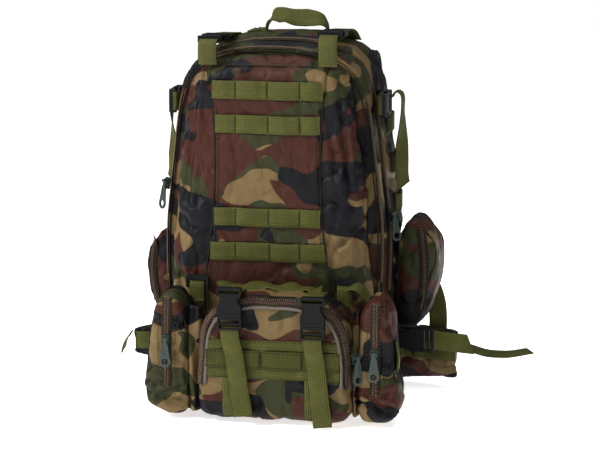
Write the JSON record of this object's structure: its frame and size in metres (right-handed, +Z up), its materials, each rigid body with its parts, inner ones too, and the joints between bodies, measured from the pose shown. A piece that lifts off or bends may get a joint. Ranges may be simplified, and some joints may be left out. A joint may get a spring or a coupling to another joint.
{
  "type": "hunting backpack",
  "caption": "Upright field pack with nested zipped compartments, webbing rows, compression straps with side-release buckles, and detachable waist and side pouches.",
  "frame": {"origin": "middle of the flat base, on the surface it stands on", "axes": "+Z up, the front faces -Y, +X is the viewer's right from the front"},
  "size_m": [0.5902, 0.387, 0.5239],
  "materials": {
    "camo_fabric": "woodland camouflage coated oxford weave",
    "base_fabric": "black coated fabric",
    "mesh_fabric": "black air mesh over foam",
    "olive_webbing": "woven polypropylene webbing",
    "frame_plastic": "matt sheet",
    "stay_metal": "satin",
    "buckle_plastic": "moulded acetal, semi gloss",
    "zipper_coil": "nylon coil on woven tape",
    "slider_metal": "grey-green enamel"
  },
  "bodies": {
    "pack": {"base_panel": "base_fabric", "rear_compartment": "camo_fabric", "frame_sheet": "frame_plastic", "frame_stays": "stay_metal", "back_pads": "mesh_fabric", "shoulder_strap_left": "mesh_fabric", "shoulder_strap_right": "mesh_fabric", "shoulder_webbing": "olive_webbing", "ladder_locks": "buckle_plastic", "side_webbing": "olive_webbing", "main_zipper": "zipper_coil", "side_sockets": "buckle_plastic"},
    "handle": {"carry_handle": "olive_webbing"},
    "wing_left": {"hip_wing_left": "camo_fabric", "hip_webbing_left": "olive_webbing"},
    "wing_right": {"hip_wing_right": "camo_fabric", "hip_webbing_right": "olive_webbing"},
    "middle": {"middle_compartment": "camo_fabric", "front_zipper": "zipper_coil"},
    "front": {"front_pocket": "camo_fabric", "front_panel": "camo_fabric", "front_webbing": "olive_webbing", "top_webbing": "olive_webbing", "top_sockets": "buckle_plastic"},
    "main_zip": {"main_slider": "slider_metal"},
    "main_tab": {"main_pull": "slider_metal"},
    "front_zip": {"front_slider": "slider_metal"},
    "front_tab": {"front_pull": "slider_metal"},
    "top_clip_left": {"top_plug_left": "buckle_plastic", "top_strap_left": "olive_webbing"},
    "top_clip_right": {"top_plug_right": "buckle_plastic", "top_strap_right": "olive_webbing"},
    "side_clip_left": {"side_plug_left": "buckle_plastic", "side_tail_left": "olive_webbing"},
    "side_clip_right": {"side_plug_right": "buckle_plastic", "side_tail_right": "olive_webbing"},
    "lower_clip": {"lower_plug_right": "buckle_plastic", "lower_tail_right": "olive_webbing"},
    "waist": {"waist_pouch": "camo_fabric", "waist_band": "olive_webbing", "waist_handle": "olive_webbing", "waist_zipper": "zipper_coil", "waist_webbing": "olive_webbing", "waist_sockets": "buckle_plastic", "hanger_rings": "buckle_plastic", "pocket_left": "camo_fabric", "pocket_right": "camo_fabric", "pocket_zippers": "zipper_coil"},
    "waist_zip": {"waist_slider": "slider_metal"},
    "waist_tab": {"waist_pull": "slider_metal"},
    "waist_clip_left": {"waist_plug_left": "buckle_plastic", "waist_tail_left": "olive_webbing"},
    "waist_clip_right": {"waist_plug_right": "buckle_plastic", "waist_tail_right": "olive_webbing"},
    "pocket_zip_left": {"pocket_slider_left": "slider_metal"},
    "pocket_tab_left": {"pocket_pull_left": "slider_metal"},
    "pocket_zip_right": {"pocket_slider_right": "slider_metal"},
    "pocket_tab_right": {"pocket_pull_right": "slider_metal"},
    "side_bag_left": {"side_pouch_left": "camo_fabric"},
    "side_bag_right": {"side_pouch_right": "camo_fabric"}
  },
  "joints": [
    {"name": "handle_swing", "type": "hinge", "parent": "pack", "child": "handle", "pos_m": [0.011, 0.04, 0.5027], "axis": [1, 0, 0], "range_deg": [-60, 60]},
    {"name": "wing_left_fold", "type": "hinge", "parent": "pack", "child": "wing_left", "pos_m": [-0.115, 0.0965, 0], "axis": [0, 0, 1], "range_deg": [-75, 0]},
    {"name": "wing_right_fold", "type": "hinge", "parent": "pack", "child": "wing_right", "pos_m": [0.115, 0.0965, 0], "axis": [0, 0, 1], "range_deg": [0, 75]},
    {"name": "main_opening", "type": "hinge", "parent": "pack", "child": "middle", "pos_m": [0, -0.019, 0], "axis": [1, 0, 0], "range_deg": [0, 60]},
    {"name": "front_opening", "type": "hinge", "parent": "middle", "child": "front", "pos_m": [0, -0.075, 0], "axis": [1, 0, 0], "range_deg": [0, 50]},
    {"name": "main_zip_run", "type": "slide", "parent": "pack", "child": "main_zip", "axis": [-0.1214, 0, 0.9926], "range_m": [0, 0.11]},
    {"name": "main_tab_swing", "type": "hinge", "parent": "main_zip", "child": "main_tab", "pos_m": [0.15623, -0.02409, 0.2596], "axis": [0.7019, 0.7071, 0.0859], "range_deg": [-150, 0]},
    {"name": "front_zip_run", "type": "slide", "parent": "middle", "child": "front_zip", "axis": [0.111, 0, 0.9938], "range_m": [-0.1, 0.06]},
    {"name": "front_tab_swing", "type": "hinge", "parent": "front_zip", "child": "front_tab", "pos_m": [-0.14852, -0.08009, 0.30355], "axis": [0.7027, -0.7071, -0.0785], "range_deg": [-150, 0]},
    {"name": "top_clip_left_pull", "type": "slide", "parent": "front", "child": "top_clip_left", "axis": [0, 1, 0], "range_m": [0, 0.03]},
    {"name": "top_clip_right_pull", "type": "slide", "parent": "front", "child": "top_clip_right", "axis": [0, 1, 0], "range_m": [0, 0.03]},
    {"name": "side_clip_left_pull", "type": "slide", "parent": "pack", "child": "side_clip_left", "axis": [0, 1, 0], "range_m": [0, 0.03]},
    {"name": "side_clip_right_pull", "type": "slide", "parent": "pack", "child": "side_clip_right", "axis": [0, 1, 0], "range_m": [0, 0.03]},
    {"name": "lower_clip_pull", "type": "slide", "parent": "pack", "child": "lower_clip", "axis": [1, 0, 0], "range_m": [0, 0.03]},
    {"name": "waist_detach", "type": "slide", "parent": "front", "child": "waist", "axis": [0, -1, 0], "range_m": [0, 0.08]},
    {"name": "waist_zip_run", "type": "slide", "parent": "waist", "child": "waist_zip", "axis": [0, 0, 1], "range_m": [-0.012, 0.02]},
    {"name": "waist_tab_swing", "type": "hinge", "parent": "waist_zip", "child": "waist_tab", "pos_m": [0.13709, -0.19759, 0.097], "axis": [0.7071, 0.7071, 0], "range_deg": [-150, 0]},
    {"name": "waist_clip_left_pull", "type": "slide", "parent": "waist", "child": "waist_clip_left", "axis": [0, 0, -1], "range_m": [0, 0.03]},
    {"name": "waist_clip_right_pull", "type": "slide", "parent": "waist", "child": "waist_clip_right", "axis": [0, 0, -1], "range_m": [0, 0.03]},
    {"name": "pocket_zip_left_run", "type": "slide", "parent": "waist", "child": "pocket_zip_left", "axis": [0, 0, 1], "range_m": [-0.03, 0.05]},
    {"name": "pocket_tab_left_swing", "type": "hinge", "parent": "pocket_zip_left", "child": "pocket_tab_left", "pos_m": [-0.121, -0.1972, 0.111], "axis": [1, 0, 0], "range_deg": [-150, 0]},
    {"name": "pocket_zip_right_run", "type": "slide", "parent": "waist", "child": "pocket_zip_right", "axis": [0, 0, 1], "range_m": [-0.03, 0.05]},
    {"name": "pocket_tab_right_swing", "type": "hinge", "parent": "pocket_zip_right", "child": "pocket_tab_right", "pos_m": [0.158, -0.1972, 0.102], "axis": [1, 0, 0], "range_deg": [-150, 0]},
    {"name": "side_bag_left_detach", "type": "slide", "parent": "pack", "child": "side_bag_left", "axis": [-1, 0, 0], "range_m": [0, 0.06]},
    {"name": "side_bag_right_detach", "type": "slide", "parent": "pack", "child": "side_bag_right", "axis": [1, 0, 0], "range_m": [0, 0.06]}
  ]
}
